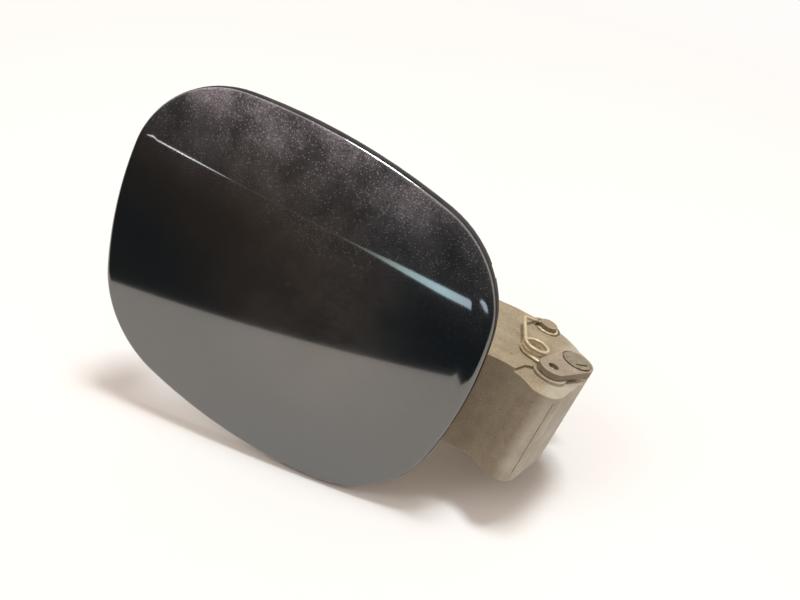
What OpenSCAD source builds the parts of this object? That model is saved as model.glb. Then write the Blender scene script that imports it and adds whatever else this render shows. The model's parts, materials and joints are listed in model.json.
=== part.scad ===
// Car fuel door: crowned outer skin, inner panel, gooseneck hinge arm and fixed hinge bracket.
// The origin is the middle of the bracket's two fixing holes, on the face that meets the car.
// Z runs up, along the hinge axis. The outer face looks along -Y, the free end along -X.
// All lengths are in millimetres, all angles in degrees.

/* [Door panel] */
// Width of the door across the hinge axis
door_w = 172.8; // [140:0.1:200]
// Height of the door along the hinge axis
door_h = 149.7; // [120:0.1:180]
// Distance from the hinge axis to the near edge of the door
door_gap = 32.2; // [28:0.1:50]
// How far the middle of the door stands above the middle of the hinge arm
door_rise = 4.6; // [-10:0.1:10]
// Distance from the hinge axis forward to the door's edge plane
face_reach = 43; // [38:0.5:50]
// Sheet thickness of the outer skin
skin_t = 0.9; // [0.7:0.1:1.5]
// Depth of the skin's turned side wall
rim_depth = 4.5; // [3.5:0.1:6]
// Radius of the skin's outer edge
edge_r = 1.8; // [1:0.1:2.5]
// Radius of the door's crown
crown_r = 1500; // [1000:10:2500]
// Height of the crown over the edge plane
crown_rise = 3; // [2:0.1:5]
// Angle between the faces above and below the body line
line_angle = 3; // [1:0.1:6]
// Slope of the body line
line_slope = 2.1; // [0:0.1:5]
// Height of the body line over the middle of the door
line_rise = 38.4; // [20:0.1:50]
// Low hinge-side corner: radius, sag to the side, sag to the bottom
corner_low_near = [50.1, 2.2, 1.8]; // [0:0.1:60]
// High hinge-side corner: radius, sag to the side, sag to the top
corner_high_near = [48.6, 1.7, 3.9]; // [0:0.1:60]
// High free-end corner: radius, sag to the side, sag to the top
corner_high_far = [46.6, 0.2, 2.6]; // [0:0.1:60]
// Low free-end corner: radius, sag to the side, sag to the bottom
corner_low_far = [50.6, 3.7, 5.3]; // [0:0.1:60]
// Radii of the hinge side, top, free side and bottom
side_r = [171, 266, 196, 220]; // [150:1:400]

/* [Inner panel] */
// Thickness of the inner panel's rim
panel_t = 1.8; // [1.2:0.1:2.5]
// Width of the flat rim round the inner panel
panel_rim = 13; // [10:0.5:18]
// Thickness of the stamped middle
pan_t = 1.2; // [0.8:0.1:2]
// How far the middle is stamped toward the skin
pan_rise = 2.6; // [1.5:0.1:3.2]

/* [Hinge arm] */
// Height of the hinge arm along the hinge axis
arm_h = 47.1; // [42:0.1:54]
// Wall thickness of the moulded arm
arm_wall = 2.6; // [2:0.1:3.5]
// Outer radius of the hub round the hinge axis
hub_r = 7.9; // [7:0.1:9]
// Radius of the rounded nose at the front of the arm
nose_r = 9; // [8:0.1:10]
// Place of the nose's centre
nose_at = [-7.5, -26]; // [-30:0.1:0]
// Radius of the hinge pin
pin_r = 3; // [2.5:0.1:3.5]
// Radial clearance of the hub on the pin
pin_fit = 0.06; // [0.02:0.01:0.1]
// Gap between the arm and the fixed plates above and below it
end_gap = 0.4; // [0.3:0.05:1]

/* [Spring] */
// Radius of the spring wire
wire_r = 0.75; // [0.5:0.05:0.8]
// Mean radius of the coil
coil_r = 5.5; // [5:0.1:6]
// Whole turns of the coil
coil_turns = 2; // [2:1:4]
// Gap between the turns of the coil
coil_gap = 0.35; // [0.1:0.05:0.5]
// Centre of the coil on the arm
coil_at = [-18.4, -8.2]; // [-30:0.1:0]
// Centre of the round post that holds the upper leg
post_at = [-18, 23.6]; // [-30:0.1:30]
// Radius of the post
post_r = 4; // [3:0.1:4.5]
// Height of the post over the arm
post_rise = 2; // [1:0.1:3]
// Centre of the eye that holds the lower leg
eye_at = [-7.9, -16]; // [-30:0.1:0]
// Outer radius of the eye
eye_r = 6.3; // [5.5:0.1:6.5]
// Radius of the hole in the eye
eye_hole_r = 2.4; // [2:0.1:2.6]
// Radial step from the eye to the arm's collar below it
collar_step = 1.4; // [1:0.1:2]
// How far the nose's top is lowered round the collar
nose_drop = 1.5; // [1:0.1:1.6]

/* [Fixed bracket] */
// Sheet thickness of the bracket
bracket_t = 2.5; // [2:0.1:3.5]
// Distance between the two fixing holes
fixing_spacing = 28; // [24:0.5:30]
// Radius of the fixing holes
fixing_r = 2.75; // [2.2:0.05:3.2]

/* [Hidden] */
$fn = 96;
eps = 0.01;
through = 100;
plate_t = 2.8;
head_r = 6.4;
head_sink = 0.6;
head_proud = 0.35;
screw_r = 2;
screw_gap = 0.15;
screw_head_r = 3.8;
screw_head_h = 2.4;
nut_af_r = 4;
nut_h = 3.2;
stop_stem_r = 2.2;
stop_cup_r = 7.5;
groove_deep = 1.4;
spring_gap = 0.05;
rivet_r = 1.6;
pad_t = 4;
arm_top = arm_h / 2;
web_under = arm_top - arm_wall;
plate_low = arm_top + end_gap;
plate_top = plate_low + plate_t;
ear_top = -arm_top - end_gap;
foot_y = 30;
foot_top = 6;
foot_hole_z = -9;
foot_far = -fixing_spacing - 8;
hole_inset = 7;
mount_at = [foot_far + hole_inset + fixing_spacing / 2, foot_y + bracket_t, foot_hole_z];

door_near = -door_gap;
door_far = -door_gap - door_w;
door_mid = (door_near + door_far) / 2;
door_low = door_rise - door_h / 2;
door_high = door_rise + door_h / 2;
rim_top = face_reach + 0.7;
wall_back = face_reach - rim_depth;
panel_back = wall_back - panel_t;
pan_back = wall_back - pan_t + pan_rise;
pad_front = panel_back - 1.5;
pad_back = pad_front - pad_t;
pad_near = -48;
pad_far = -104;
crown_top = face_reach + crown_rise;
crown_at = [door_mid, door_rise + 15];
line_at = [door_mid, door_rise + line_rise];

corners = [
    [door_near - corner_low_near[0] - corner_low_near[1], door_low + corner_low_near[0] + corner_low_near[2],
        corner_low_near[0]],
    [door_near - corner_high_near[0] - corner_high_near[1],
        door_high - corner_high_near[0] - corner_high_near[2], corner_high_near[0]],
    [door_far + corner_high_far[0] + corner_high_far[1], door_high - corner_high_far[0] - corner_high_far[2],
        corner_high_far[0]],
    [door_far + corner_low_far[0] + corner_low_far[1], door_low + corner_low_far[0] + corner_low_far[2],
        corner_low_far[0]]
];

pad_holes = [[-96, 13], [-96, -13], [-62, 13], [-62, -13]];
pad_centres = [
    [door_far + 45, door_rise + 25.4], [door_far + 45, door_rise - 32.6],
    [door_near - 45.8, door_rise + 28.4], [door_near - 45.8, door_rise - 49.6]
];
stop_centres = [[door_far + 20, door_rise + 41.4], [door_far + 18, door_rise - 34.6]];
striker_at = [door_far + 19, door_rise + 1.4];
rivet_offset = 9;

function unit(v) = v / norm(v);
function flat(c) = [c[0], c[1]];

// Centre of the large arc that runs inside-tangent to two corner circles
function side_centre(a, b, r) = let (
    step = flat(b) - flat(a),
    span = norm(step),
    along = ((r - a[2]) ^ 2 - (r - b[2]) ^ 2 + span ^ 2) / (2 * span),
    across = sqrt((r - a[2]) ^ 2 - along ^ 2),
    dir = step / span
) flat(a) + along * dir + across * [-dir[1], dir[0]];

side_mid = [for (i = [0:3]) side_centre(corners[i], corners[(i + 1) % 4], side_r[i])];

function leaving(i) = unit(flat(corners[i]) - side_mid[i]);
function arriving(i) = unit(flat(corners[i]) - side_mid[(i + 3) % 4]);
function turn_of(v) = atan2(v[1], v[0]);
function turn_after(a, b) = b < a ? b + 360 : b;

// Door outline as points, drawn smaller by inset
function outline_points(inset) = [for (i = [0:3]) let (
    n = (i + 1) % 4,
    a = turn_of(arriving(i)),
    b = turn_after(a, turn_of(leaving(i))),
    c = turn_after(b - 1, turn_of(arriving(n)))
) each concat(
    arc(flat(corners[i]), corners[i][2] - inset, a, b - 1),
    arc(side_mid[i], side_r[i] - inset, b, c - 1)
)];

// Points of an arc, turning counterclockwise from one angle to the other
function arc(centre, r, from, to) = let (n = ceil((to - from) / (r > 100 ? 2 : 5))) [
    for (i = [0:n]) centre + r * [cos(from + (to - from) * i / n), sin(from + (to - from) * i / n)]
];

// Points of a smooth bend that leaves a and reaches c in line with b
function bend(a, b, c) = [for (i = [0:8], t = [i / 8]) (1 - t) ^ 2 * a + 2 * t * (1 - t) * b + t ^ 2 * c];

// Hinge axis along Z through the local origin
module on_axis() {
    translate(-mount_at) children();
}

// Local frame of the door: x toward the hinge, y up, z out of the outer face
module on_door() {
    on_axis() rotate([90, 0, 0]) children();
}

// Flat door outline, drawn smaller by inset
module outline(inset) {
    polygon(outline_points(inset));
}

// Blank of the skin: upright wall, rounded edge, and room for the crown above it
module skin_blank() {
    turned = rim_top - edge_r;
    rings = concat(
        [[0, wall_back]],
        [for (a = [0:30:90]) [edge_r * (1 - cos(a)), turned + edge_r * sin(a)]],
        [[edge_r, crown_top + 2]]
    );
    levels = [for (ring = rings) [for (p = outline_points(ring[0])) [p[0], p[1], ring[1]]]];
    around = len(levels[0]);
    last = len(levels) - 1;
    polyhedron(
        [for (level = levels) each level],
        concat(
            [[for (j = [0:around - 1]) j], [for (j = [around - 1:-1:0]) last * around + j]],
            [for (i = [0:last - 1], j = [0:around - 1]) let (k = (j + 1) % around)
                [i * around + k, i * around + j, (i + 1) * around + j, (i + 1) * around + k]]
        )
    );
}

// Spherical cap with its top at the local origin
module cap(r) {
    rotate_extrude($fn = 256) intersection() {
        translate([0, -r]) circle(r = r, $fn = 256);
        translate([0, -60]) square([200, 80]);
    }
}

// The shared part of two caps gives the crown and the body line
module crown(inset) {
    lean = asin((line_at[1] - crown_at[1]) / crown_r);
    tilt = lean + line_angle;
    up = [-sin(line_slope) * sin(tilt), cos(line_slope) * sin(tilt), cos(tilt)];
    on_line = [line_at[0], line_at[1], crown_top - crown_r * (1 - cos(lean))];
    intersection() {
        translate([crown_at[0], crown_at[1], crown_top - inset]) cap(crown_r - inset);
        translate(on_line - inset * up) rotate([-tilt, 0, line_slope]) cap(crown_r - inset);
    }
}

module outer_skin() {
    color([0.05, 0.05, 0.06])
    on_door() difference() {
        intersection() {
            skin_blank();
            crown(0);
        }
        intersection() {
            translate([0, 0, wall_back - 1]) linear_extrude(12) outline(skin_t);
            crown(skin_t);
        }
    }
}

module bead(from, to, r) {
    step = to - from;
    translate([from[0], from[1], pan_back])
    rotate([0, 0, atan2(step[1], step[0])])
    rotate([0, 90, 0]) cylinder(r = r, h = norm(step));
}

module inner_panel() {
    bead_r = 1.6;
    boss = [pad_near - pad_far + 4, arm_h + 3];
    color([0.16, 0.16, 0.17])
    on_door() difference() {
        union() {
            difference() {
                translate([0, 0, panel_back]) linear_extrude(panel_t) outline(0.35);
                translate([0, 0, panel_back - 1]) linear_extrude(panel_t + 2) outline(panel_rim + pan_t);
            }
            difference() {
                translate([0, 0, panel_back])
                linear_extrude(pan_back + pan_t - panel_back) outline(panel_rim);
                translate([0, 0, panel_back - 1])
                linear_extrude(pan_back - panel_back + 1) outline(panel_rim + pan_t);
            }
            for (side = [-1, 1]) {
                bead([door_far + 39, door_rise + side * 6], [pad_far - 14, door_rise + side * 34], bead_r);
                bead([pad_far + 10, door_rise + side * 40], [pad_near - 8, door_rise + side * 40], bead_r);
            }
            translate([pad_far - 2, -boss[1] / 2, pad_front])
            cube([boss[0], boss[1], pan_back - pad_front + eps]);
            for (p = stop_centres) translate([p[0], p[1], panel_back])
            cylinder(r = stop_cup_r, h = pan_back - panel_back + eps);
            translate([striker_at[0] - 12, striker_at[1] - 15, panel_back])
            cube([24, 30, pan_back - panel_back + eps]);
        }
        translate([pad_far - 2 + pan_t, -boss[1] / 2 + pan_t, pad_front + panel_t])
        cube([boss[0] - 2 * pan_t, boss[1] - 2 * pan_t, 20]);
        translate([striker_at[0] - 12 + pan_t, striker_at[1] - 15 + pan_t, panel_back + panel_t])
        cube([24 - 2 * pan_t, 30 - 2 * pan_t, 20]);
        for (p = stop_centres) translate([p[0], p[1], panel_back + panel_t])
        cylinder(r = stop_cup_r - pan_t, h = through);
        for (p = stop_centres) translate([p[0], p[1], 0]) cylinder(r = stop_stem_r, h = through);
        for (p = pad_holes) translate([p[0], p[1], 0]) cylinder(r = screw_r + screw_gap, h = through);
        for (side = [-1, 1]) {
            translate([striker_at[0], striker_at[1] + side * rivet_offset, 0])
            cylinder(r = rivet_r, h = through);
            translate([pad_far - 34, door_rise + side * 46, 0]) cylinder(r = 7, h = through);
            translate([pad_near - 2, door_rise + side * 52, 0]) cylinder(r = 5, h = through);
        }
        translate([pad_far - 30, door_rise, 0]) cylinder(r = 10, h = through);
    }
}

// Soft pads that keep the skin from drumming on the inner panel, each cut to the skin's slope
module mastic_pads() {
    under = crown_top - skin_t;
    color([0.3, 0.3, 0.3])
    on_door() for (p = pad_centres) {
        aside = p - crown_at;
        fall = asin(norm(aside) / (crown_r - skin_t));
        touch = [p[0], p[1], under - (crown_r - skin_t) * (1 - cos(fall)) - 0.02];
        difference() {
            translate([p[0], p[1], pan_back + pan_t]) cylinder(r = 6, h = 12);
            translate(touch) rotate([0, 0, atan2(aside[1], aside[0])]) rotate([0, fall, 0])
            translate([-20, -20, 0]) cube(40);
        }
    }
}

module weld_nuts() {
    color([0.6, 0.6, 0.58])
    on_door() for (p = pad_holes) translate([p[0], p[1], pad_front + panel_t]) difference() {
        cylinder(r = nut_af_r, h = nut_h, $fn = 6);
        translate([0, 0, -1]) cylinder(r = screw_r + 0.02, h = nut_h + 2);
    }
}

module arm_screws() {
    shaft = pad_t + panel_t + nut_h;
    color([0.55, 0.55, 0.53])
    on_door() for (p = pad_holes) translate([p[0], p[1], pad_back]) {
        cylinder(r = screw_r, h = shaft);
        translate([0, 0, -screw_head_h]) difference() {
            cylinder(r = screw_head_r, h = screw_head_h);
            translate([0, 0, -eps]) cylinder(r = 1.8, h = 1.5, $fn = 6);
        }
    }
}

// Rubber stops that meet the filler pocket when the door is shut
module bump_stops() {
    color([0.08, 0.08, 0.08])
    on_door() for (p = stop_centres) translate([p[0], p[1], 0]) {
        translate([0, 0, panel_back - 5]) cylinder(r = 4.6, h = 5);
        translate([0, 0, panel_back]) cylinder(r = stop_stem_r, h = panel_t);
        translate([0, 0, panel_back + panel_t]) cylinder(r = 3.4, h = 1.6);
    }
}

module latch_striker() {
    base = [20, 26, 2.2];
    loop = [14, 10, 13];
    window = [loop[0] + 2, 5.2, 6];
    color([0.1, 0.1, 0.1])
    on_door() translate([striker_at[0], striker_at[1], panel_back]) difference() {
        union() {
            translate([-base[0] / 2, -base[1] / 2, -base[2]]) cube(base);
            translate([-loop[0] / 2, -loop[1] / 2, -base[2] - loop[2]]) cube([loop[0], loop[1], loop[2] + 1]);
        }
        translate([-window[0] / 2, -window[1] / 2, -base[2] - loop[2] + 3]) cube(window);
        for (side = [-1, 1]) translate([0, side * rivet_offset, -10]) cylinder(r = rivet_r, h = 20);
    }
}

module striker_rivets() {
    color([0.7, 0.7, 0.7])
    on_door() for (side = [-1, 1])
    translate([striker_at[0], striker_at[1] + side * rivet_offset, panel_back]) {
        translate([0, 0, -2.2]) cylinder(r = rivet_r, h = 2.2 + panel_t);
        translate([0, 0, -3.2]) cylinder(r = 2.8, h = 1);
        translate([0, 0, panel_t]) cylinder(r = 2.6, h = 1);
    }
}

// Where the straight flank leaves the nose and meets the hub
flank_turn = atan2(-nose_at[1], -nose_at[0]) - acos((nose_r - hub_r) / norm(nose_at));

// Front wall between the pad and the nose, moved back by a given step
function front_wall(step) = bend([-44, step - pad_front], [-22, step - 23.5], [-12.7, step - 33.3]);

// Arm outline seen down the hinge axis
module arm_outline() {
    polygon(concat(
        arc(nose_at, nose_r, -125, flank_turn),
        arc([0, 0], hub_r, flank_turn, 18),
        arc([-4, 5.5], 11.9, -14, 70),
        bend([0, 16.7], [-9, 27.5], [-24, 26.6]),
        bend([-25, 26.5], [-66, 26], [-78, -18]),
        bend([-78.5, -20], [-82.5, -pad_back], [pad_holes[0][0] + screw_head_r + 0.6, -pad_back]),
        [[pad_far, -pad_back], [pad_far, -pad_front]],
        front_wall(0)
    ));
}

// Hollow of the arm, open toward the back
module arm_hollow() {
    inner_r = nose_r - arm_wall;
    side = [cos(flank_turn), sin(flank_turn)];
    polygon(concat(
        [[30, 4], [30, 60], [-90, 60], [-90, -pad_back], [-46, -pad_back]],
        front_wall(arm_wall),
        arc(nose_at, inner_r, -138, flank_turn),
        [(hub_r - arm_wall) * side]
    ));
}

module arm_ribs() {
    rib_t = 2.2;
    hub_rib = unit([-14, -31]);
    rotate([0, 0, atan2(hub_rib[1], hub_rib[0])]) translate([0, -rib_t / 2]) square([31, rib_t]);
    translate([-50, -36]) square([rib_t, 48]);
    translate([-78, -36]) square([rib_t, 20]);
}

// Curved groove round the post for the hooked end of the spring
module post_groove() {
    groove_r = 6.6;
    translate([post_at[0], post_at[1], arm_top - groove_deep]) difference() {
        translate([-0.2, -1, 0]) cylinder(r = groove_r, h = 5);
        translate([0, 0, -1]) cylinder(r = post_r, h = 7);
    }
}

// Lowered top of the nose, which leaves a round collar under the eye and the hub's end at full height
module nose_recess() {
    translate([0, 0, arm_top - nose_drop]) difference() {
        linear_extrude(5)
        polygon([[-14, -18], [-18.3, -21.5], [-24, -36], [14, -42], [14, -4], [3, -4], [-2, -12]]);
        translate([eye_at[0], eye_at[1], -1]) cylinder(r = eye_r + collar_step, h = 7);
        translate([0, 0, -1]) cylinder(r = hub_r + 0.4, h = 7);
    }
}

module hinge_arm() {
    lobe_r = 7.4;
    lobe_h = 5.5;
    slit_turn = -42;
    color([0.58, 0.53, 0.42])
    on_axis() difference() {
        union() {
            difference() {
                translate([0, 0, -arm_top]) linear_extrude(arm_h) arm_outline();
                translate([0, 0, -web_under]) linear_extrude(2 * web_under) arm_hollow();
            }
            translate([0, 0, -web_under - 1]) linear_extrude(2 * web_under + 2) intersection() {
                arm_outline();
                arm_ribs();
            }
            translate([0, 0, -1.1]) linear_extrude(2.2) intersection() {
                arm_outline();
                translate([-88, -36]) square([80, 38]);
            }
            translate([0, 0, -arm_top]) cylinder(r = hub_r - 0.25, h = arm_h);
            translate([post_at[0] - 0.8, post_at[1] - 0.6, arm_top - lobe_h])
            cylinder(r = lobe_r, h = lobe_h);
            translate([post_at[0], post_at[1], arm_top - lobe_h])
            cylinder(r = post_r, h = lobe_h + post_rise);
        }
        translate([0, 0, -arm_h]) cylinder(r = pin_r + pin_fit, h = 2 * arm_h);
        post_groove();
        nose_recess();
        translate([nose_at[0], nose_at[1], -19])
        rotate([0, 0, slit_turn]) translate([nose_r - 0.8, -0.25, 0]) cube([3, 0.5, 38.2]);
        rotate([90, 0, 0]) for (p = pad_holes) translate([p[0], p[1], 0])
        cylinder(r = screw_r + screw_gap, h = 60);
    }
}

// Fixed plate over the arm, with the eye for the spring's lower leg
module spring_plate() {
    lean = unit(-eye_at);
    out = [lean[1], -lean[0]];
    color([0.6, 0.55, 0.48])
    on_axis() translate([0, 0, plate_low]) difference() {
        union() {
            cylinder(r = hub_r, h = plate_t);
            translate(eye_at) cylinder(r = eye_r, h = plate_t);
            linear_extrude(plate_t)
            polygon([eye_at + eye_r * out, hub_r * out, -hub_r * out, eye_at - eye_r * out]);
        }
        translate([0, 0, -1]) cylinder(r = pin_r + 0.01, h = plate_t + 2);
        translate([0, 0, plate_t - head_sink]) cylinder(r = head_r + 0.7, h = 2);
        translate([eye_at[0], eye_at[1], -1]) cylinder(r = eye_hole_r, h = plate_t + 2);
        translate([eye_at[0], eye_at[1], 0]) rotate([0, 0, lower_touch - 90])
        translate([0, -wire_r - 0.4, -1]) cube([10, 2 * wire_r + 0.8, 2 * wire_r + 1.2]);
    }
}

module pivot_pin() {
    slot = [6.4, 1, 0.8];
    top = plate_top - head_sink;
    low = ear_top - bracket_t - 2.6;
    groove_z = ear_top - bracket_t - 1.2;
    color([0.58, 0.53, 0.42])
    on_axis() difference() {
        union() {
            translate([0, 0, low]) cylinder(r = pin_r, h = top - low);
            translate([0, 0, top]) cylinder(r = head_r, h = head_sink + head_proud);
        }
        translate([2.5, -1.9, top + head_sink + head_proud - slot[2]])
        rotate([0, 0, 43]) translate([-slot[0] / 2, -slot[1] / 2, 0]) cube(slot + [0, 0, 1]);
        translate([0, 0, groove_z]) difference() {
            cylinder(r = pin_r + 1, h = 1.2);
            translate([0, 0, -1]) cylinder(r = pin_r - 0.5, h = 4);
        }
    }
}

module pin_clip() {
    groove_z = ear_top - bracket_t - 1.2;
    color([0.3, 0.3, 0.3])
    on_axis() translate([0, 0, groove_z]) difference() {
        cylinder(r = 5.2, h = 1.1);
        translate([0, 0, -1]) cylinder(r = pin_r - 0.45, h = 4);
        translate([-1.9, 0, -1]) cube([3.8, 8, 4]);
    }
}

coil_low = arm_top + wire_r + 0.1;
coil_pitch = 2 * wire_r + coil_gap;
leg_bend = [-28.9, 11.2];
lower_touch = turn_of(eye_at - coil_at) - acos(coil_r / norm(eye_at - coil_at));
upper_touch = turn_of(leg_bend - coil_at) + acos(coil_r / norm(leg_bend - coil_at));
coil_sweep = 360 * coil_turns + lower_touch + 360 - upper_touch;

// Point of the coil at a part of its sweep, winding clockwise as it rises
function coil_point(part) = let (a = lower_touch - part * coil_sweep) [
    coil_at[0] + coil_r * cos(a),
    coil_at[1] + coil_r * sin(a),
    coil_low + coil_pitch * part * coil_sweep / 360
];

function cross_turn(way, side) = unit(side - (side * way) * way);

// Sideways directions carried along a path without twisting
function carried(ways, i, side) = i == len(ways) ? [] :
    let (next = cross_turn(ways[i], side)) concat([next], carried(ways, i + 1, next));

// Round wire swept along a path of points
module wire(path, r) {
    sides = 8;
    last = len(path) - 1;
    ways = [for (i = [0:last]) unit(path[min(i + 1, last)] - path[max(i - 1, 0)])];
    across = carried(ways, 0, [0.6, 0.8, 0]);
    points = [for (i = [0:last], j = [0:sides - 1]) path[i]
        + r * cos(360 * j / sides) * across[i] + r * sin(360 * j / sides) * cross(ways[i], across[i])];
    skin = [for (i = [0:last - 1], j = [0:sides - 1]) let (k = (j + 1) % sides)
        [i * sides + k, i * sides + j, (i + 1) * sides + j, (i + 1) * sides + k]];
    ends = [[for (j = [0:sides - 1]) j], [for (j = [sides - 1:-1:0]) last * sides + j]];
    polyhedron(points, concat(skin, ends));
}

module torsion_spring() {
    steps = round(coil_sweep / 18);
    hook_r = post_r + wire_r + spring_gap;
    hook_z = arm_top - groove_deep + wire_r + spring_gap;
    top = coil_point(1)[2];
    eye_in = [eye_at[0], eye_at[1], coil_low];
    path = concat(
        [eye_in + [0, 0, 2.3], eye_in + [-0.1, 0, 1.1], eye_in + [-0.8, 0.15, 0.2]],
        [for (i = [0:steps]) coil_point(i / steps)],
        [[leg_bend[0], leg_bend[1], top - 0.6], [leg_bend[0] + 0.6, leg_bend[1] + 1.7, top - 0.9],
            [post_at[0] - 7.2, post_at[1] - 3.6, arm_top + wire_r + 0.6],
            [post_at[0] - 6.1, post_at[1] - 1.7, arm_top + wire_r + 0.1]],
        [for (a = [164:-16:-140]) [post_at[0] + hook_r * cos(a), post_at[1] + hook_r * sin(a), hook_z]]
    );
    color([0.62, 0.55, 0.42])
    on_axis() wire(path, wire_r);
}

// Fixed sheet bracket: ear under the arm, foot behind it
module hinge_bracket() {
    ear_r = 6.6;
    foot_w = fixing_spacing + 14;
    ear_low = ear_top - bracket_t;
    color([0.2, 0.2, 0.21])
    on_axis() difference() {
        union() {
            translate([0, 0, ear_low]) linear_extrude(bracket_t) {
                circle(r = ear_r);
                polygon([[ear_r, 0], [ear_r, foot_y + bracket_t], [foot_far + 4, foot_y + bracket_t],
                    [foot_far + 4, foot_y - 3], [-ear_r, -1]]);
            }
            translate([foot_far, foot_y, ear_low]) cube([foot_w, bracket_t, foot_top - ear_low]);
            for (x = [-25, ear_r - 2.2 - 0.4]) translate([x, 0, 0]) rotate([90, 0, 90]) linear_extrude(2.2)
            polygon([[foot_y - 2.4, ear_top - 1], [foot_y + 1, ear_top - 1], [foot_y + 1, ear_top + 12],
                [foot_y - 0.5, ear_top + 12]]);
        }
        translate([0, 0, ear_low - 1]) cylinder(r = pin_r + 0.01, h = bracket_t + 2);
        for (x = [0, fixing_spacing]) translate([foot_far + hole_inset + x, foot_y - 1, foot_hole_z])
        rotate([-90, 0, 0]) cylinder(r = fixing_r, h = bracket_t + 2);
    }
}

outer_skin();
inner_panel();
mastic_pads();
weld_nuts();
arm_screws();
bump_stops();
latch_striker();
striker_rivets();
hinge_arm();
spring_plate();
pivot_pin();
pin_clip();
torsion_spring();
hinge_bracket();
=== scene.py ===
"""Car fuel door: dressed model, floor, light and camera.

Points are in metres in the part's own frame. Lengths of the door and the spring are in mm about the
hinge axis.
"""
import json
import math

import bmesh
import bpy
from mathutils import Matrix, Vector


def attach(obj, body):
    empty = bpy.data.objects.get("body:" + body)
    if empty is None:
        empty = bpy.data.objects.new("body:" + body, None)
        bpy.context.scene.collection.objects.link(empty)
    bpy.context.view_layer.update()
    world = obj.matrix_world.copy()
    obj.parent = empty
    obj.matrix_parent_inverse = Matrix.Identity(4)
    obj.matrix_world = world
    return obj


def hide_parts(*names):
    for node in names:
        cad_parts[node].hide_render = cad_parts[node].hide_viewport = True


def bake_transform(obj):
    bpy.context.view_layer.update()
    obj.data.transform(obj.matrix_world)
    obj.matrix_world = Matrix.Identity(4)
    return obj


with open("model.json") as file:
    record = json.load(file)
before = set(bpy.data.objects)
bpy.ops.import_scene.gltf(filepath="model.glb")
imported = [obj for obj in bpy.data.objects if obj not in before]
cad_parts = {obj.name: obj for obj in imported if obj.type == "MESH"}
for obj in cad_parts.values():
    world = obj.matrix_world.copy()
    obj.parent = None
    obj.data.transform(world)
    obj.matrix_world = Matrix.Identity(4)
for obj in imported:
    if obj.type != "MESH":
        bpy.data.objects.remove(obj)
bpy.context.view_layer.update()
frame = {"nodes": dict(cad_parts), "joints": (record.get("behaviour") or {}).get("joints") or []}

MM = 0.001
PIVOT = Vector(frame["joints"][0]["pos_m"])

# Door in its own plane: x runs toward the hinge, up along its axis, and height out of the car
DOOR_NEAR = -32.2
DOOR_FAR = -205.0
DOOR_LOW = -70.25
DOOR_HIGH = 79.45
DOOR_MID = Vector(((DOOR_NEAR + DOOR_FAR) / 2, (DOOR_LOW + DOOR_HIGH) / 2))
WALL_BACK = 38.5
CROWN_TOP = 46.0
CROWN_R = 1500.0
CROWN_AT = Vector((DOOR_MID.x, 19.6))
RIM_TOP = 43.7
EDGE_R = 1.8
SKIN_T = 0.9
HEM_R = 0.25
INSIDE_DROP = 0.4
RISE_PART = 1 / 12

# Corner circles of the outline as x, up and radius, then the radii of the long sides between them
CORNERS = (
    (DOOR_NEAR - 52.3, DOOR_LOW + 51.9, 50.1),
    (DOOR_NEAR - 50.3, DOOR_HIGH - 52.5, 48.6),
    (DOOR_FAR + 46.8, DOOR_HIGH - 49.2, 46.6),
    (DOOR_FAR + 54.3, DOOR_LOW + 55.9, 50.6),
)
SIDE_R = (171.0, 266.0, 196.0, 220.0)

# Body line: a point of it, its slope, the turn of the surface across it, and how soft the turn is at each end
LINE_AT = Vector((DOOR_MID.x, 43.0))
LINE_SLOPE = math.radians(2.1)
LINE_ANGLE = math.radians(3.0)
LINE_LEAN = math.asin((LINE_AT.y - CROWN_AT.y) / CROWN_R)
LINE_SHARP = 0.03
LINE_SOFT = 0.2
SOFT_FROM = 0.42
SOFT_UNTIL = 0.84

# Fineness of the skin's mesh
ARC_POINTS = 44
EDGE_STEPS = 8
FACE_RINGS = 110
INSIDE_RINGS = (0.985, 0.8, 0.6, 0.4, 0.2)
# Outer rings, the turned wall and the start of the rounded edge, that take the dark dull finish, a painted
# shade
SHADED_WALL_RINGS = 6


def at(x, up, out):
    """Point of the door's own frame, in mm about the hinge axis, as a point of the part's frame."""
    return PIVOT + Vector((x, -out, up)) * MM


def about(x, y, z):
    """Point about the hinge axis in mm, as a point of the part's frame."""
    return PIVOT + Vector((x, y, z)) * MM


def side_centre(a, b, r):
    """Centre of the long side of radius r that meets two corner circles in line."""
    step = Vector((b[0] - a[0], b[1] - a[1]))
    span = step.length
    along = ((r - a[2]) ** 2 - (r - b[2]) ** 2 + span ** 2) / (2 * span)
    across = math.sqrt((r - a[2]) ** 2 - along ** 2)
    way = step / span
    return Vector((a[0], a[1])) + along * way + across * Vector((-way.y, way.x))


def outline(inset):
    """Points of the door's outline in mm, drawn smaller by inset."""
    centres = [side_centre(CORNERS[i], CORNERS[(i + 1) % 4], SIDE_R[i]) for i in range(4)]
    points = []
    for i in range(4):
        c = Vector(CORNERS[i][:2])
        n = Vector(CORNERS[(i + 1) % 4][:2])
        turns = []
        for v in (c - centres[i - 1], c - centres[i], n - centres[i]):
            turns.append(math.atan2(v.y, v.x))
        a, b, d = turns
        b += 0 if b > a else 2 * math.pi
        while d < b:
            d += 2 * math.pi
        for k in range(ARC_POINTS):
            t = a + (b - a) * k / ARC_POINTS
            points.append(c + (CORNERS[i][2] - inset) * Vector((math.cos(t), math.sin(t))))
        for k in range(ARC_POINTS):
            t = b + (d - b) * k / ARC_POINTS
            points.append(centres[i] + (SIDE_R[i] - inset) * Vector((math.cos(t), math.sin(t))))
    return points


def clamped(value):
    """Value kept between 0 and 1."""
    return min(max(value, 0.0), 1.0)


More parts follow.
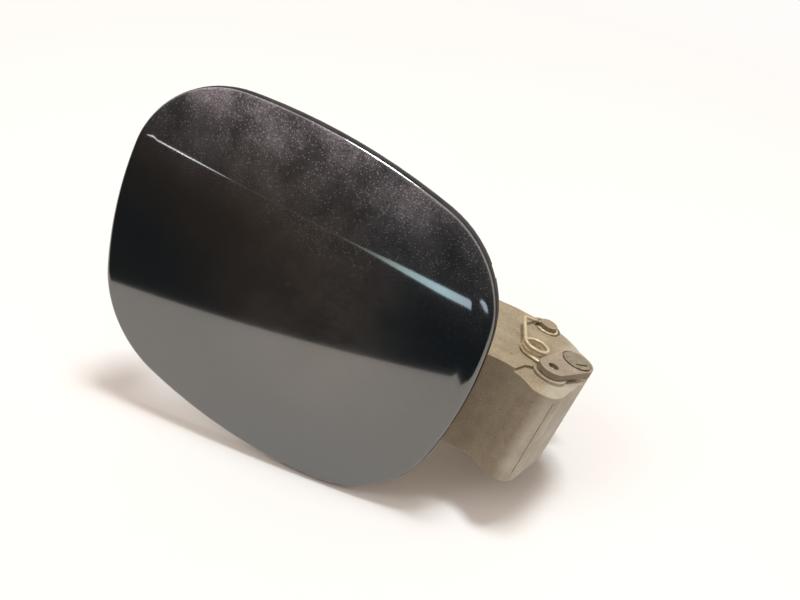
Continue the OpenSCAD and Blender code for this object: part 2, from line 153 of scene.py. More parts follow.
def upper_centre():
    """Centre of the ball whose cap is the face above the body line."""
    tilt = LINE_LEAN + LINE_ANGLE
    across = math.sin(tilt)
    normal = Vector((-math.sin(LINE_SLOPE) * across, math.cos(LINE_SLOPE) * across, math.cos(tilt)))
    return Vector((LINE_AT.x, LINE_AT.y, CROWN_TOP - CROWN_R * (1 - math.cos(LINE_LEAN)))) - CROWN_R * normal


UPPER_AT = upper_centre()


def crown(x, up):
    """Height of the outer face in mm, with the body line as a rounded crease that widens toward the hinge."""
    dx, du = x - CROWN_AT.x, up - CROWN_AT.y
    main = CROWN_TOP - CROWN_R + math.sqrt(CROWN_R ** 2 - dx * dx - du * du)
    ex, eu = x - UPPER_AT.x, up - UPPER_AT.y
    upper = UPPER_AT.z + math.sqrt(CROWN_R ** 2 - ex * ex - eu * eu)
    along = clamped((x - DOOR_FAR) / (DOOR_NEAR - DOOR_FAR))
    near = clamped((along - SOFT_FROM) / (SOFT_UNTIL - SOFT_FROM))
    soft = LINE_SHARP + (LINE_SOFT - LINE_SHARP) * near * near * (3 - 2 * near)
    h = clamped(0.5 + 0.5 * (upper - main) / soft)
    return upper + (main - upper) * h - soft * h * (1 - h)


def new_object(name, bm, smooth=True):
    """Object of a finished bmesh, in the scene."""
    mesh = bpy.data.meshes.new(name)
    bm.to_mesh(mesh)
    bm.free()
    for poly in mesh.polygons:
        poly.use_smooth = smooth
    obj = bpy.data.objects.new(name, mesh)
    bpy.context.scene.collection.objects.link(obj)
    return obj


def bridge(bm, low, high, material=0):
    """Band of faces between two rings of points."""
    n = len(low)
    for k in range(n):
        bm.faces.new((low[k], low[(k + 1) % n], high[(k + 1) % n], high[k])).material_index = material


def door_skin():
    """Pressed outer skin: turned wall, rounded edge, crowned face with its body line, and the inside."""
    bm = bmesh.new()

    def rim(p):
        return min(RIM_TOP, crown(p.x, p.y))

    def ring(inset, height):
        return [bm.verts.new(at(p.x, p.y, height(p))) for p in outline(inset)]

    def cap(ring_points, height, material):
        tip = bm.verts.new(at(DOOR_MID.x, DOOR_MID.y, height))
        for a, b in zip(ring_points, ring_points[1:] + ring_points[:1]):
            bm.faces.new((a, b, tip)).material_index = material

    rings = [ring(SKIN_T, lambda p: WALL_BACK), ring(HEM_R, lambda p: WALL_BACK)]
    rings.append(ring(0.0, lambda p: WALL_BACK + HEM_R))
    rings.append(ring(0.0, lambda p: rim(p) - EDGE_R))
    for step in range(1, EDGE_STEPS + 1):
        a = math.radians(90 * step / EDGE_STEPS)
        rings.append(ring(EDGE_R * (1 - math.cos(a)), lambda p: rim(p) - EDGE_R * (1 - math.sin(a))))
    face = outline(EDGE_R)
    for step in range(1, FACE_RINGS):
        layer = []
        for p in face:
            q = DOOR_MID + (p - DOOR_MID) * (1 - step / FACE_RINGS)
            low, top = rim(q), crown(q.x, q.y)
            height = low + (top - low) * min(step / FACE_RINGS / RISE_PART, 1.0)
            layer.append(bm.verts.new(at(q.x, q.y, height)))
        rings.append(layer)
    # The first rings take the second material, a dark dull finish that paints shade on the turned wall and
    # edge
    for k, (low, high) in enumerate(zip(rings, rings[1:])):
        bridge(bm, low, high, 1 if k < SHADED_WALL_RINGS else 0)
    middle_height = crown(DOOR_MID.x, DOOR_MID.y)
    cap(rings[-1], middle_height, 0)
    inside = [rings[0], ring(SKIN_T, lambda p: rim(p) - SKIN_T - INSIDE_DROP)]
    for f in INSIDE_RINGS:
        layer = []
        for p in outline(SKIN_T):
            q = DOOR_MID + (p - DOOR_MID) * f
            layer.append(bm.verts.new(at(q.x, q.y, crown(q.x, q.y) - SKIN_T)))
        inside.append(layer)
    for low, high in zip(inside, inside[1:]):
        bridge(bm, high, low, 1)
    cap(inside[-1][::-1], middle_height - SKIN_T, 1)
    bmesh.ops.recalc_face_normals(bm, faces=bm.faces)
    return new_object("door_skin", bm)


# Torsion spring about the hinge axis in mm
WIRE_R = 0.75
WIRE_SIDES = 14
WIRE_TIP = 0.75
WIRE_GAP = 0.1
COIL_AT = Vector((-18.4, -8.2))
COIL_R = 5.5
COIL_TURNS = 2
COIL_PITCH = 1.85
COIL_STEPS = 150
EYE_AT = Vector((-7.9, -16.0))
POST_AT = Vector((-18.0, 23.6))
HOOK_R = 4.8
HOOK_GAP = 0.05
HOOK_DEGREES = range(164, -141, -8)
LEG_BEND = Vector((-28.9, 11.2))
ARM_TOP = 23.55
GROOVE_DEEP = 1.4

# Steps of the legs in mm: from the eye's hole at the wire's height, from the bend, and from the post
EYE_STEPS = ((0, 0, 1.2), (0, 0, 0.8), (-0.3, 0.05, 0.15), (-2.0, 0.38, 0))
BEND_STEPS = ((0.2, -1.6, -0.5), (0, 0, -0.6), (0.6, 1.7, -0.9))
POST_STEPS = ((-7.2, -3.6, 0.6), (-6.1, -1.7, WIRE_GAP))

# Direction from which the wire's first ring starts
SWEEP_SIDE = Vector((0.6, 0.8, 0.0))


def smooth_path(points, times):
    """Chaikin corner cutting, keeping the two ends."""
    for _ in range(times):
        cut = [points[0]]
        for a, b in zip(points, points[1:]):
            cut += [a.lerp(b, 0.25), a.lerp(b, 0.75)]
        points = cut + [points[-1]]
    return points


def sweep(bm, path, r, sides):
    """Round wire along a path, without twist, with rounded ends."""
    side = SWEEP_SIDE
    rings = []
    for i, p in enumerate(path):
        way = (path[min(i + 1, len(path) - 1)] - path[max(i - 1, 0)]).normalized()
        side = (side - side.dot(way) * way).normalized()
        other = way.cross(side)
        end = WIRE_TIP if i in (0, len(path) - 1) else 1.0
        ring = []
        for k in range(sides):
            t = 2 * math.pi * k / sides
            ring.append(bm.verts.new(p + end * r * (math.cos(t) * side + math.sin(t) * other)))
        rings.append(ring)
    for a, b in zip(rings, rings[1:]):
        bridge(bm, a, b)
    bm.faces.new(rings[0][::-1])
    bm.faces.new(rings[-1])


def stepped(anchor, height, steps):
    """Points at the given steps from an anchor at a height."""
    return [about(anchor.x + dx, anchor.y + dy, height + dz) for dx, dy, dz in steps]


def turned(centre, r, a, height):
    """Point of a circle about a centre, at angle a and at a height."""
    return about(centre.x + r * math.cos(a), centre.y + r * math.sin(a), height)


def spring_wire():
    """The spring as one wire: lower leg in the plate's eye, coil, and upper leg hooked round the post."""
    low = ARM_TOP + WIRE_R + WIRE_GAP
    to_eye = EYE_AT - COIL_AT
    to_bend = LEG_BEND - COIL_AT
    start = math.atan2(to_eye.y, to_eye.x) - math.acos(COIL_R / to_eye.length)
    stop = math.atan2(to_bend.y, to_bend.x) + math.acos(COIL_R / to_bend.length)
    swept = 2 * math.pi * COIL_TURNS + start + 2 * math.pi - stop
    rise = COIL_PITCH * swept / (2 * math.pi)
    parts = [i / COIL_STEPS for i in range(COIL_STEPS + 1)]
    coil = [turned(COIL_AT, COIL_R, start - swept * part, low + rise * part) for part in parts]
    eye = smooth_path(stepped(EYE_AT, low, EYE_STEPS) + [coil[0]], 3)[:-1]
    groove = ARM_TOP - GROOVE_DEEP + WIRE_R + HOOK_GAP
    hook = [turned(POST_AT, HOOK_R, math.radians(deg), groove) for deg in HOOK_DEGREES]
    rest = stepped(LEG_BEND, low + rise, BEND_STEPS) + stepped(POST_AT, ARM_TOP + WIRE_R, POST_STEPS)
    leg = smooth_path([coil[-1]] + rest + [hook[0]], 3)[1:] + hook[1:]
    bm = bmesh.new()
    sweep(bm, eye + coil + leg, WIRE_R * MM, WIRE_SIDES)
    bmesh.ops.recalc_face_normals(bm, faces=bm.faces)
    return new_object("spring_wire", bm)


# Bend of an edge at which wear starts, and at which it is full
WORN_FROM = 0.03
WORN_FULL = 0.25

# Shaded rounding of edges in metres
STEEL_EDGE = 0.0003
SHEET_EDGE = 0.0005
MOULDED_EDGE = 0.0004


class Nodes:
    """Small helper that wires a material's nodes. Most methods add a node and return its output."""

    def __init__(self, name):
        self.mat = bpy.data.materials.new(name)
        self.mat.use_nodes = True
        self.tree = self.mat.node_tree
        self.tree.nodes.clear()
        self.out = self.tree.nodes.new("ShaderNodeOutputMaterial")
        self.place = self.tree.nodes.new("ShaderNodeTexCoord").outputs["Object"]

    def add(self, kind, inputs=None, **props):
        node = self.tree.nodes.new(kind)
        for key, value in props.items():
            setattr(node, key, value)
        for key, value in (inputs or {}).items():
            self.put(node.inputs[key], value)
        return node

    def put(self, socket, value):
        if isinstance(value, bpy.types.NodeSocket):
            self.tree.links.new(value, socket)
        else:
            socket.default_value = value

    def noise(self, scale, detail=4.0, rough=0.55):
        settings = {"Vector": self.place, "Scale": scale, "Detail": detail, "Roughness": rough}
        return self.add("ShaderNodeTexNoise", settings).outputs["Fac"]

    def stretched(self, size):
        return self.add("ShaderNodeMapping", {"Vector": self.place, "Scale": size}).outputs["Vector"]

    def mapped(self, value, low, high, to_low=0.0, to_high=1.0):
        ends = {"From Min": low, "From Max": high, "To Min": to_low, "To Max": to_high}
        return self.add("ShaderNodeMapRange", {"Value": value, **ends}).outputs["Result"]

    def axes(self, vector):
        return self.add("ShaderNodeSeparateXYZ", {"Vector": vector}).outputs

    def distance(self, point):
        """Distance of the shaded point from the given one."""
        node = self.add("ShaderNodeVectorMath", {0: self.place, 1: point}, operation="DISTANCE")
        return node.outputs["Value"]

    def ramp(self, fac, stops):
        node = self.add("ShaderNodeValToRGB", {"Fac": fac})
        while len(node.color_ramp.elements) < len(stops):
            node.color_ramp.elements.new(0.5)
        for element, (pos, value) in zip(node.color_ramp.elements, stops):
            element.position = pos
            element.color = (value, value, value, 1) if isinstance(value, (int, float)) else (*value, 1)
        return node.outputs["Color"]

    def math(self, op, a, b=0.0, clamp=False):
        node = self.tree.nodes.new("ShaderNodeMath")
        node.operation = op
        node.use_clamp = clamp
        self.put(node.inputs[0], a)
        self.put(node.inputs[1], b)
        return node.outputs[0]

    def times(self, a, b):
        return self.math("MULTIPLY", a, b)

    def mix(self, fac, a, b):
        node = self.tree.nodes.new("ShaderNodeMix")
        node.data_type = "RGBA"
        for socket, value in ((0, fac), (6, a), (7, b)):
            if isinstance(value, tuple):
                value = (*value, 1)
            self.put(node.inputs[socket], value)
        return node.outputs[2]

    def bump(self, height, strength, distance, normal=None):
        node = self.add("ShaderNodeBump", {"Height": height, "Strength": strength, "Distance": distance})
        if normal is not None:
            self.put(node.inputs["Normal"], normal)
        return node.outputs["Normal"]

    def soft_edges(self, radius):
        return self.add("ShaderNodeBevel", {"Radius": radius}, samples=4).outputs["Normal"]

    def edge_mask(self, radius):
        """Bright where the surface turns sharply, for wear along edges."""
        normals = {0: self.soft_edges(radius), 1: self.add("ShaderNodeNewGeometry").outputs["Normal"]}
        dot = self.add("ShaderNodeVectorMath", normals, operation="DOT_PRODUCT")
        bent = self.math("SUBTRACT", 1.0, dot.outputs["Value"])
        return self.ramp(bent, ((WORN_FROM, 0.0), (WORN_FULL, 1.0)))

    def mix_shaders(self, fac, a, b):
        """Node between two shaders, a where fac is 0 and b where it is 1."""
        return self.add("ShaderNodeMixShader", {0: fac, 1: a.outputs[0], 2: b.outputs[0]})

    def surface(self, shader):
        """Material with the given shader."""
        self.tree.links.new(shader.outputs[0], self.out.inputs["Surface"])
        return self.mat

    def finish(self, **sockets):
        """Material with a plain shader whose sockets are named with underscores."""
        shader = self.add("ShaderNodeBsdfPrincipled", {k.replace("_", " "): v for k, v in sockets.items()})
        return self.surface(shader)


# Door paint and its dust, which gathers between two heights, thins along a run and lies in a patch, in metres
PAINT = (0.13, 0.128, 0.12)
FLAKE_DARK = (0.1, 0.103, 0.104)
FLAKE_LIGHT = (0.17, 0.17, 0.165)
DUST_GREY = (0.35, 0.31, 0.35)
DUST_BROWN = (0.42, 0.33, 0.26)
DUST_HEIGHTS = (0.032, 0.08)
DUST_RUN = (-0.12, 0.0)
PATCH_AT = (-0.085, -0.077, 0.012)
PATCH_R = (0.055, 0.01)


def door_paint():
    """Dark metallic paint under clear coat, with dust that gathers toward the top and in a patch."""
    n = Nodes("door_paint_look")
    flake = n.ramp(n.noise(3800.0, 1.0), ((0.35, FLAKE_DARK), (0.75, FLAKE_LIGHT)))
    base = n.mix(n.noise(45.0, 3.0), flake, PAINT)
    place = n.axes(n.place)
    high = n.math("POWER", n.mapped(place["Z"], *DUST_HEIGHTS), 1.6)
    patch = n.mapped(n.distance(PATCH_AT), *PATCH_R, 0.0, 0.36)
    lie = n.math("ADD", n.times(high, n.mapped(place["X"], *DUST_RUN, 1.7, 0.45)), patch)
    wanted = n.times(lie, n.ramp(n.noise(38.0, 6.0, 0.62), ((0.38, 0.3), (0.64, 1.0))))
    cells = n.add("ShaderNodeTexVoronoi", {"Vector": n.stretched((1.0, 0.02, 1.0)), "Scale": 1100.0})
    dots = n.ramp(cells.outputs["Distance"], ((0.16, 1.0), (0.36, 0.0)))
    chosen = n.add("ShaderNodeSeparateColor", {"Color": cells.outputs["Color"]}).outputs["Red"]
    kept = n.math("GREATER_THAN", n.math("ADD", chosen, n.times(wanted, 0.5)), 0.8)
    specks = n.times(n.times(n.times(dots, kept), 0.34), n.math("ADD", lie, 0.3))
    film = n.times(wanted, n.ramp(n.noise(1500.0, 3.0, 0.7), ((0.3, 0.24), (0.7, 0.66))))
    dust = n.math("ADD", n.math("ADD", film, 0.014), specks, clamp=True)
    color = n.mix(dust, base, n.mix(n.times(patch, 3.0), DUST_GREY, DUST_BROWN))
    smear = n.ramp(n.noise(18.0, 5.0, 0.6), ((0.4, 0.01), (0.75, 0.03)))
    return n.finish(
        Base_Color=color, Metallic=n.math("SUBTRACT", 1.0, dust), Roughness=0.07,
        Coat_Weight=1.0, Coat_Roughness=smear, Coat_IOR=1.5,
        Normal=n.bump(n.noise(900.0, 2.0), 0.01, 0.0001),
    )


# Castings: painted shade tone of faces turned away from up, painted highlight tone of the nose, and the run
# of that highlight along x in metres
CAST_SIDE_SHADE = (0.13, 0.11, 0.085)
CAST_NOSE_HIGHLIGHT = (0.56, 0.53, 0.46)
NOSE_HIGHLIGHT_RUN = (0.0065, 0.0115)


def dusty_cast(name, light, dark, grime, radius, nose=0.0):
    """Sand-dusted die casting: grainy, with spots of grime, painted shade on faces turned away from up, a
    painted highlight along the nose, and edges brightened partly as wear and partly as painted highlight.
    """
    n = Nodes(name)
    patches = n.ramp(n.noise(120.0, 6.0, 0.6), ((0.3, dark), (0.7, light)))
    grain = n.ramp(n.noise(1500.0, 3.0, 0.7), ((0.35, 0.72), (0.7, 1.08)))
    mottled = n.add("ShaderNodeMix", {0: 1.0, 6: patches, 7: grain}, data_type="RGBA", blend_type="MULTIPLY")
    spots = n.ramp(n.noise(420.0, 3.0), ((0.64, 0.0), (0.74, 0.6)))
    color = n.mix(spots, mottled.outputs[2], grime)
    nose_highlight = n.mapped(n.axes(n.place)["X"], *NOSE_HIGHLIGHT_RUN, 0.0, nose)
    facing = n.axes(n.add("ShaderNodeTexCoord").outputs["Normal"])
    # Painted shade: faces that turn away from up are darkened toward the side shade tone.
    color = n.mix(n.ramp(facing["Z"], ((0.3, 0.45), (0.85, 0.0))), color, CAST_SIDE_SHADE)
    # Painted highlight: a pale tone laid on the nose, beyond a run along x.
    color = n.mix(n.times(nose_highlight, n.noise(60.0, 3.0)), color, CAST_NOSE_HIGHLIGHT)
    # Edges brightened toward a lighter copy of the casting's tone: partly wear, partly painted highlight.
    worn = n.times(n.edge_mask(radius), n.ramp(n.noise(260.0, 4.0), ((0.4, 0.3), (0.62, 0.9))))
    color = n.mix(worn, color, tuple(min(c * 1.7, 0.8) for c in light))
    normal = n.bump(n.noise(1100.0, 5.0, 0.65), 0.45, 0.0003, n.soft_edges(radius))
    normal = n.bump(n.noise(190.0, 3.0), 0.3, 0.0005, normal)
    rough = n.math("ADD", 0.62, n.times(n.noise(300.0), 0.2))
    return n.finish(Base_Color=color, Metallic=0.15, Roughness=rough, Normal=normal)


def dusty_steel(name, light, dark, rough=0.36, metal=0.95):
    """Plated steel with dust in its low places and rubbed bright spots."""
    n = Nodes(name)
    color = n.ramp(n.noise(500.0, 5.0, 0.6), ((0.35, dark), (0.65, light)))
    dust = n.ramp(n.noise(240.0, 4.0), ((0.45, 0.0), (0.65, 1.0)))
    plated = n.math("SUBTRACT", metal, n.times(dust, 0.7 * metal))
    roughness = n.math("ADD", rough, n.times(dust, 0.28))
    normal = n.bump(n.noise(1700.0, 3.0), 0.2, 0.0001, n.soft_edges(STEEL_EDGE))
    return n.finish(Base_Color=color, Metallic=plated, Roughness=roughness, Normal=normal)


# Dust on dark sheet, bare metal of its worn edges, and dust on rubber and plastic
SHEET_DUST = (0.3, 0.27, 0.23)
SHEET_BARE = (0.34, 0.33, 0.31)
MOULDED_DUST = (0.28, 0.25, 0.22)


def thin_paint(name, color, rough=0.42, dusty=0.35, gloss=0.5):
    """Thin dark primer over pressed sheet, slightly uneven, with dust and rubbed edges."""
    n = Nodes(name)
    lighter = tuple(c * 1.7 + 0.02 for c in color)
    base = n.ramp(n.noise(70.0, 5.0, 0.6), ((0.35, color), (0.75, lighter)))
    dust = n.ramp(n.noise(900.0, 4.0, 0.7), ((0.52, 0.0), (0.78, dusty)))
    toned = n.mix(dust, base, SHEET_DUST)
    worn = n.times(n.edge_mask(SHEET_EDGE), n.ramp(n.noise(200.0, 4.0), ((0.45, 0.0), (0.65, dusty))))
    toned = n.mix(worn, toned, SHEET_BARE)
    roughness = n.math("ADD", rough, n.times(n.noise(150.0), 0.2))
    normal = n.bump(n.noise(650.0, 3.0), 0.15, 0.0002, n.soft_edges(SHEET_EDGE))
    return n.finish(Base_Color=toned, Roughness=roughness, Specular_IOR_Level=gloss, Normal=normal)


def soft_matter(name, color, grain, rough):
    """Moulded rubber or plastic with a fine grain and a little dust."""
    n = Nodes(name)
    lighter = tuple(c * 1.6 + 0.015 for c in color)
    base = n.ramp(n.noise(160.0, 4.0), ((0.35, color), (0.75, lighter)))
    dust = n.ramp(n.noise(1300.0, 3.0, 0.7), ((0.58, 0.0), (0.8, 0.3)))
    toned = n.mix(dust, base, MOULDED_DUST)
    roughness = n.math("ADD", rough, n.times(n.noise(220.0), 0.15))
    normal = n.bump(n.noise(grain, 3.0), 0.3, 0.0002, n.soft_edges(MOULDED_EDGE))
    return n.finish(Base_Color=toned, Roughness=roughness, Normal=normal)


ARM_LIGHT = (0.46, 0.375, 0.24)
ARM_DARK = (0.32, 0.25, 0.165)
ARM_GRIME = (0.09, 0.075, 0.05)
PLATE_LIGHT = (0.44, 0.35, 0.25)
PLATE_DARK = (0.33, 0.265, 0.2)
PLATE_GRIME = (0.12, 0.09, 0.07)
looks = {
    "inner_panel": thin_paint("inner_paint_look", (0.018, 0.018, 0.02)),
    "mastic_pads": soft_matter("mastic_look", (0.22, 0.22, 0.21), 500.0, 0.7),
    "weld_nuts": dusty_steel("nut_look", (0.5, 0.49, 0.46), (0.33, 0.32, 0.3)),
    "bump_stops": soft_matter("rubber_look", (0.012, 0.012, 0.012), 800.0, 0.62),
    "latch_striker": soft_matter("striker_look", (0.02, 0.02, 0.021), 700.0, 0.48),
    "striker_rivets": dusty_steel("rivet_look", (0.62, 0.62, 0.6), (0.42, 0.42, 0.41)),
    "hinge_arm": dusty_cast("arm_look", ARM_LIGHT, ARM_DARK, ARM_GRIME, 0.0009, 1.0),
    "spring_plate": dusty_cast("plate_look", PLATE_LIGHT, PLATE_DARK, PLATE_GRIME, 0.0005),
    "pivot_pin": dusty_steel("pin_look", (0.36, 0.3, 0.2), (0.2, 0.165, 0.11), 0.42),
    "pin_clip": dusty_steel("clip_look", (0.2, 0.19, 0.18), (0.1, 0.1, 0.09)),
    "hinge_bracket": thin_paint("bracket_look", (0.022, 0.022, 0.023)),
}
looks["arm_screws"] = looks["weld_nuts"]
for node, look in looks.items():
    obj = frame["nodes"][node]
    obj.data.materials.clear()
    obj.data.materials.append(look)

skin = door_skin()
skin.data.materials.append(door_paint())
# Second finish of the skin, dark and dull: painted shade on the turned wall and the start of its rounded
# edge, and the finish of the skin's inside
skin.data.materials.append(thin_paint("door_edge_painted_shade_look", (0.014, 0.011, 0.009), 0.55, 0.12, 0.12))
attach(skin, "door")
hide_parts("outer_skin")

spring = spring_wire()
spring.data.materials.append(dusty_steel("spring_look", (0.72, 0.6, 0.4), (0.5, 0.4, 0.25), 0.42, metal=0.55))
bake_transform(spring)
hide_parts("torsion_spring")

# Camera, from the solved pose of the photograph, with its right, up and back directions
CAM_AT = about(-19.47, -399.25, 207.09)
CAM_RIGHT = Vector((0.8585, 0.3275, 0.3947))
CAM_UP = Vector((-0.4942, 0.3226, 0.8073))
CAM_BACK = Vector((0.137, -0.8881, 0.4388))
LENS_MM = 45.0
SENSOR_MM = 36.0
camera = bpy.data.objects.new("camera", bpy.data.cameras.new("camera"))
bpy.context.scene.collection.objects.link(camera)
turn = Matrix((CAM_RIGHT, CAM_UP, CAM_BACK)).transposed()
camera.matrix_world = Matrix.Translation(CAM_AT) @ turn.to_4x4()
camera.data.lens = LENS_MM
camera.data.sensor_width = SENSOR_MM
camera.data.clip_start = 0.01
bpy.context.scene.camera = camera

# Floor under the leaning part, in metres. Camera and mirrored rays see it fade to the backdrop's tone
FLOOR_UP = Vector((-0.199, -0.232, 0.952)).normalized()
FLOOR_GAP = 0.0002
FLOOR_SIDES = 3
FLOOR_NEAR = -2
FLOOR_FAR = 4
FLOOR_FADE = (0.28, 0.7)
FLOOR_DULL = (0.86, 0.835, 0.82)
FLOOR_PALE = (0.88, 0.865, 0.85)
BACKDROP = (0.99, 0.97, 0.95)
lowest = min(
    FLOOR_UP.dot(v.co)
    for node, obj in frame["nodes"].items() if node != "torsion_spring"
    for v in obj.data.vertices
)
FLOOR_AHEAD = (-CAM_BACK - FLOOR_UP * FLOOR_UP.dot(-CAM_BACK)).normalized()
FLOOR_SIDE = FLOOR_AHEAD.cross(FLOOR_UP)
part_middle = about(-90, 0, 0)
FLOOR_AT = part_middle + FLOOR_UP * (lowest - FLOOR_GAP - FLOOR_UP.dot(part_middle))


def on_floor(side, ahead, up):
    """Point over the floor, in metres from below the middle of the part."""
    return FLOOR_AT + FLOOR_SIDE * side + FLOOR_AHEAD * ahead + FLOOR_UP * up


def sheet_object(name, corners):
    """Flat four-sided piece."""
    bm = bmesh.new()
    bm.faces.new([bm.verts.new(c) for c in corners])
    return new_object(name, bm, smooth=False)


def floor_look():
    """Pale paper that fades to the backdrop's tone with distance, and is clear from below."""
    n = Nodes("floor_look")
    tone = n.ramp(n.noise(2.0, 2.0), ((0.3, FLOOR_DULL), (0.7, FLOOR_PALE)))
    settings = {"Base Color": tone, "Roughness": 0.55, "Specular IOR Level": 0.2}
    paper = n.add("ShaderNodeBsdfPrincipled", settings)
    far = n.ramp(n.distance(tuple(FLOOR_AT)), ((FLOOR_FADE[0], 0.0), (FLOOR_FADE[1], 1.0)))
    rays = n.add("ShaderNodeLightPath").outputs
    looked_at = n.math("MAXIMUM", rays["Is Camera Ray"], rays["Is Glossy Ray"])
    pale = n.add("ShaderNodeEmission", {"Color": (*BACKDROP, 1), "Strength": 1.0})
    faded = n.mix_shaders(n.times(far, looked_at), paper, pale)
    below = n.add("ShaderNodeNewGeometry").outputs["Backfacing"]
    return n.surface(n.mix_shaders(below, faded, n.add("ShaderNodeBsdfTransparent")))


floor = sheet_object("floor", (
    on_floor(-FLOOR_SIDES, FLOOR_NEAR, 0), on_floor(FLOOR_SIDES, FLOOR_NEAR, 0),
    on_floor(FLOOR_SIDES, FLOOR_FAR, 0), on_floor(-FLOOR_SIDES, FLOOR_FAR, 0),
))
floor.data.materials.append(floor_look())


def seen_in_mirrors(obj, n, color, strength):
    """Let a studio piece shine with the given colour, and hide it from all but mirrored rays."""
    obj.data.materials.append(n.surface(n.add("ShaderNodeEmission", {"Color": color, "Strength": strength})))
    obj.visible_camera = False
    obj.visible_diffuse = False
    obj.visible_shadow = False


# Dark card on the floor ahead of the part, which the upper half of the door mirrors: two points of its foot
CARD_FAR = Vector((-0.272, -0.131))
CARD_NEAR = Vector((-0.042, -0.304))
CARD_LONGER = 1.5
CARD_OVER = 0.0005
CARD_HIGH = 1.6
CARD_LEAN = 0.25
CARD_BLUE = (0.03, 0.042, 0.052)
CARD_BROWN = (0.12, 0.09, 0.07)
card_way = (CARD_NEAR - CARD_FAR).normalized()
card_out = Vector((card_way.y, -card_way.x))
card_feet = (CARD_FAR - card_way * CARD_LONGER, CARD_NEAR + card_way * CARD_LONGER)
card_tops = [p + card_out * CARD_LEAN for p in card_feet]
card = sheet_object("dark_card", (
    on_floor(*card_feet[0], CARD_OVER), on_floor(*card_feet[1], CARD_OVER),
    on_floor(*card_tops[1], CARD_HIGH), on_floor(*card_tops[0], CARD_HIGH),
))
card_nodes = Nodes("dark_card_look")
blotch = card_nodes.ramp(card_nodes.noise(3.2, 3.0, 0.5), ((0.4, CARD_BLUE), (0.62, CARD_BROWN)))
seen_in_mirrors(card, card_nodes, blotch, 1.0)


# Narrow glow ahead of the part, which only the crease of the body line turns toward: its distance in metres,
# its ends along the door, the half angle of its thin part, and the wedge into which it opens near the hinge
GLOW_DISTANCE = 0.16
GLOW_FAR = DOOR_FAR + 6
GLOW_NEAR = DOOR_NEAR - 14
GLOW_THIN = math.radians(0.3)
GLOW_STEPS = 24
GLOW_STRENGTH = 7.0
WEDGE_FROM = 0.66
WEDGE_UNTIL = 0.92
WEDGE_LOW = math.radians(1.6)
WEDGE_HIGH = math.radians(0.7)
WEDGE_HIGH_RATE = 3

# Tone of the glow along its length
GLOW_TONES = (
    (0.0, (0.5, 0.5, 0.5)), (0.1, (1.0, 1.0, 1.0)), (0.2, (0.5, 0.55, 0.6)), (0.27, (0.045, 0.04, 0.035)),
    (0.6, (0.03, 0.028, 0.022)), (0.7, (0.1, 0.12, 0.11)), (0.8, (0.22, 0.3, 0.3)), (0.9, (0.27, 0.4, 0.43)),
    (1.0, (0.24, 0.28, 0.33)),
)


def mirrored(x, up, tilt, far):
    """Where a camera ray that meets the door at x, up with the given upward tilt of the surface goes next."""
    hit = at(x, up, crown(x, up))
    normal = Vector(((x - CROWN_AT.x) / CROWN_R, -math.cos(tilt), math.sin(tilt))).normalized()
    way = (hit - CAM_AT).normalized()
    return hit + far * (way - 2 * way.dot(normal) * normal)


def crease_glow():
    """Strip between the mirrored rays of the crease's two sides, with its length as an attribute."""
    bm = bmesh.new()
    tilt = LINE_LEAN + LINE_ANGLE / 2
    pairs = []
    for i in range(GLOW_STEPS + 1):
        part = i / GLOW_STEPS
        x = GLOW_FAR + (GLOW_NEAR - GLOW_FAR) * part
        up = LINE_AT.y + (x - LINE_AT.x) * math.tan(LINE_SLOPE)
        wedge = clamped((part - WEDGE_FROM) / (WEDGE_UNTIL - WEDGE_FROM))
        low = tilt - GLOW_THIN - (WEDGE_LOW - GLOW_THIN) * wedge
        high = tilt + GLOW_THIN + (WEDGE_HIGH - GLOW_THIN) * min(WEDGE_HIGH_RATE * wedge, 1)
        pairs.append([bm.verts.new(mirrored(x, up, side, GLOW_DISTANCE)) for side in (low, high)])
    for a, b in zip(pairs, pairs[1:]):
        bm.faces.new((a[0], b[0], b[1], a[1]))
    strip = new_object("crease_glow", bm, smooth=False)
    parts = [i / GLOW_STEPS for i in range(GLOW_STEPS + 1) for _ in range(2)]
    strip.data.attributes.new("along", "FLOAT", "POINT").data.foreach_set("value", parts)
    return strip


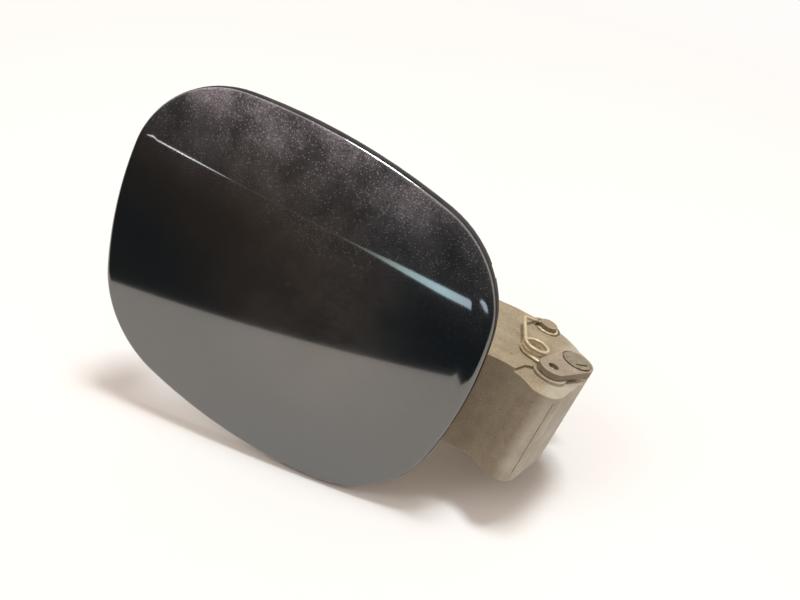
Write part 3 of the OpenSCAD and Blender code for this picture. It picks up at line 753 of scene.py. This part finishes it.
glow = crease_glow()
glow_nodes = Nodes("crease_glow_look")
along = glow_nodes.add("ShaderNodeAttribute", attribute_name="along").outputs["Fac"]
seen_in_mirrors(glow, glow_nodes, glow_nodes.ramp(along, GLOW_TONES), GLOW_STRENGTH)


# Lights, in metres over the floor, and the warm room that lights the shadows
LIT_AT = about(-90, -20, 0)
KEY_TINT = (0.9, 0.97, 1.0)
FILL_TINT = (0.94, 0.98, 1.0)
ROOM_TINT = (1.0, 0.83, 0.71)
ROOM_STRENGTH = 0.6


def lamp(name, where, size, power, color):
    """Square light of a side and power in watts, aimed at the part."""
    data = bpy.data.lights.new(name, "AREA")
    data.energy = power
    data.color = color
    data.size = size
    obj = bpy.data.objects.new(name, data)
    obj.location = where
    obj.rotation_euler = (LIT_AT - where).to_track_quat("-Z", "Y").to_euler()
    bpy.context.scene.collection.objects.link(obj)


lamp("key", on_floor(0.18, 0.16, 1.6), 0.34, 17.0, KEY_TINT)
lamp("fill", on_floor(-0.85, -0.45, 1.2), 0.7, 4.0, FILL_TINT)

world = bpy.data.worlds.new("room")
bpy.context.scene.world = world
world.use_nodes = True
tree = world.node_tree

# Camera, mirrored and transmitted rays see the backdrop, and all others the warm room
warm = tree.nodes["Background"]
warm.inputs["Color"].default_value = (*ROOM_TINT, 1)
warm.inputs["Strength"].default_value = ROOM_STRENGTH
white = tree.nodes.new("ShaderNodeBackground")
white.inputs["Color"].default_value = (*BACKDROP, 1)
rays = tree.nodes.new("ShaderNodeLightPath").outputs
whitened = rays["Is Camera Ray"]
for kind in ("Is Glossy Ray", "Is Transmission Ray"):
    either = tree.nodes.new("ShaderNodeMath")
    either.operation = "MAXIMUM"
    tree.links.new(whitened, either.inputs[0])
    tree.links.new(rays[kind], either.inputs[1])
    whitened = either.outputs[0]
choice = tree.nodes.new("ShaderNodeMixShader")
for socket, source in zip(choice.inputs, (whitened, warm.outputs[0], white.outputs[0])):
    tree.links.new(source, socket)
tree.links.new(choice.outputs[0], tree.nodes["World Output"].inputs["Surface"])

bpy.context.scene.view_settings.view_transform = "Standard"
